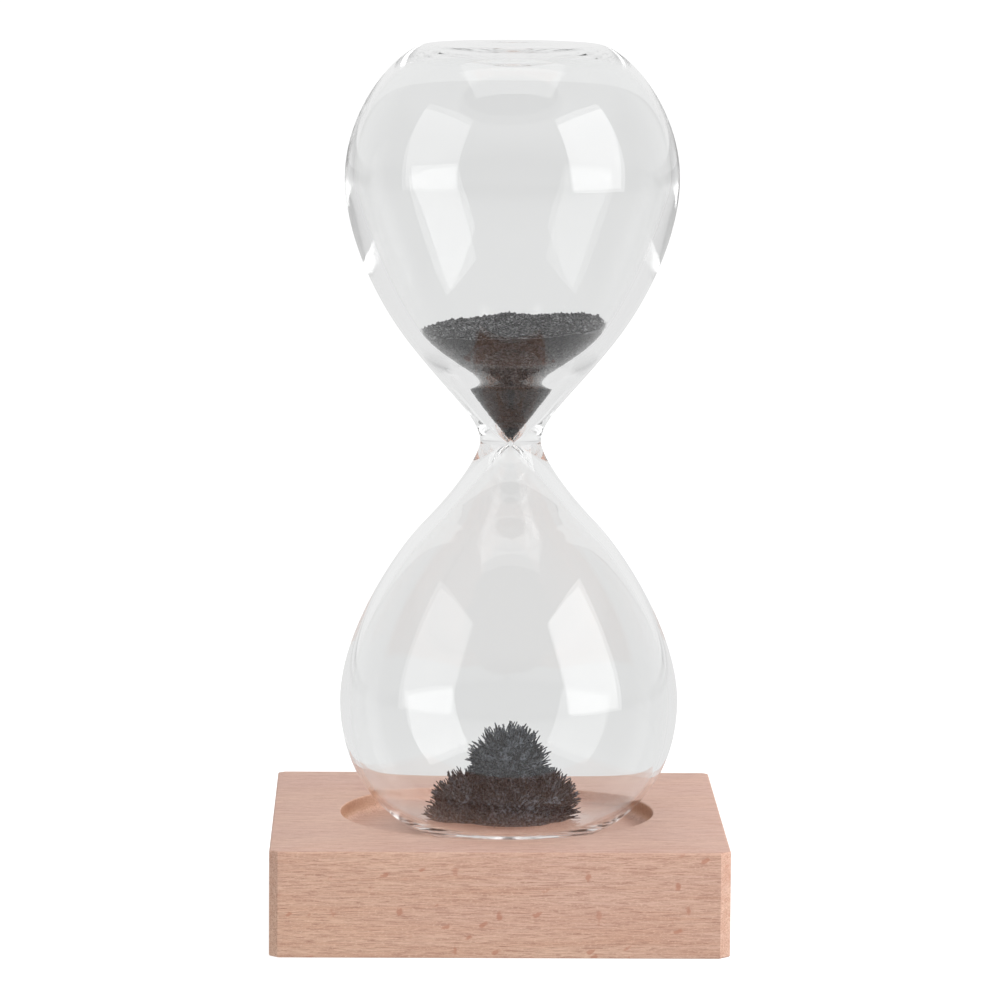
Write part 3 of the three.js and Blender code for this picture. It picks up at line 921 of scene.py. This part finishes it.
def softbox(name, azimuth, elevation, distance, width, height, strength, reflected=True):
    """A soft light aimed at the glass. Azimuth 0 is towards the viewer, growing to the right.

    One that is not `reflected` lights the wood and stays out of the glass.
    """
    light = bpy.data.lights.new(name, "AREA")
    light.shape = "RECTANGLE"
    light.size = width
    light.size_y = height
    light.energy = strength * width * height * math.pi
    lamp = bpy.data.objects.new(name, light)
    bpy.context.scene.collection.objects.link(lamp)
    a, e = math.radians(azimuth), math.radians(elevation)
    away = Vector((math.sin(a) * math.cos(e), -math.cos(a) * math.cos(e), math.sin(e)))
    aim = Vector((AXIS_X * MM, 0, WAIST_Z * MM))
    lamp.location = aim + away * distance
    lamp.rotation_euler = away.to_track_quat("Z", "Y").to_euler()
    lamp.visible_camera = False
    lamp.visible_glossy = reflected
    lamp.visible_transmission = reflected
    return lamp


# Between which two heights of a direction's Y or Z the light changes, and from which brightness to which.
BACKDROP = (0.0, 0.7, 0.5, 0.86)
CEILING = (0.25, 0.6, 0.0, 0.75)
# Azimuth and elevation in degrees, distance, width and height in metres, and strength.
SOFTBOXES = {
    "softbox_left": (-61, 14, 1.2, 0.92, 1.4, 1.35),
    "softbox_right": (61, 14, 1.2, 0.92, 1.4, 2.4),
    "softbox_top": (0, 86, 1.3, 1.1, 0.9, 0.9),
}
KEY = (64, 38, 0.55, 0.275, 0.275, 5.0)


def surroundings():
    """The rest of the studio: a pale backdrop behind and a pale ceiling, dimmer at the sides and in front."""
    world = bpy.data.worlds.new("surroundings")
    bpy.context.scene.world = world
    world.use_nodes = True
    tree = world.node_tree
    direction = add(tree, "ShaderNodeTexCoord", {}).outputs["Generated"]
    parts = add(tree, "ShaderNodeSeparateXYZ", {0: direction})
    backdrop = remap(tree, parts.outputs[1], *BACKDROP, "SMOOTHSTEP")
    ceiling = remap(tree, parts.outputs[2], *CEILING, "SMOOTHSTEP")
    light = calculate(tree, "MAXIMUM", backdrop, ceiling)
    tree.links.new(light, tree.nodes["Background"].inputs["Color"])


def studio():
    """Two tall softboxes at the sides, one overhead, a key light on the wood, and pale surroundings."""
    floor()
    table()
    surroundings()
    lamps = {name: softbox(name, *setting) for name, setting in SOFTBOXES.items()}
    lamps["softbox_left"].visible_diffuse = False  # the wood is lit from the right
    softbox("key", *KEY, reflected=False)


GLASS_BOUNCES = 48


def light_paths():
    """Lets light turn round inside the thick corners of the glass until it finds its way out."""
    cycles = bpy.context.scene.cycles
    cycles.max_bounces = GLASS_BOUNCES
    cycles.glossy_bounces = GLASS_BOUNCES
    cycles.transmission_bounces = GLASS_BOUNCES
    cycles.transparent_max_bounces = 16


# The camera looks along +Y from the front, turned and tipped by these degrees, from a place in millimetres.
CAMERA = {"yaw": 1.02, "pitch": 7.365, "roll": 0.40, "side": 0.29, "height": 210.1, "distance": 1046.4}
LENS = {"focal": 212.8, "sensor": 36.0}


def camera():
    """A long lens a little above the object, as the product is pictured."""
    yaw, pitch, roll = (math.radians(CAMERA[k]) for k in ("yaw", "pitch", "roll"))
    across = Vector((math.cos(yaw), -math.sin(yaw), 0))
    ahead = Vector((math.sin(yaw), math.cos(yaw), 0))
    forward = ahead * math.cos(pitch) - Vector((0, 0, math.sin(pitch)))
    up = across.cross(forward)
    right = across * math.cos(roll) + up * math.sin(roll)
    top = up * math.cos(roll) - across * math.sin(roll)
    data = bpy.data.cameras.new("camera")
    data.lens = LENS["focal"]
    data.sensor_width = LENS["sensor"]
    data.clip_end = 20
    eye = bpy.data.objects.new("camera", data)
    bpy.context.scene.collection.objects.link(eye)
    spot = (across * CAMERA["side"] - ahead * CAMERA["distance"] + Vector((0, 0, CAMERA["height"]))) * MM
    eye.matrix_world = Matrix.Translation(spot) @ Matrix((right, top, -forward)).transposed().to_4x4()
    bpy.context.scene.camera = eye


beech_block()
pocket_cover()
disc_magnet()
adhesive_bed()
hourglass()
upper_heap()
spiky_cluster()
studio()
camera()
bpy.context.scene.view_settings.view_transform = "Standard"
light_paths()
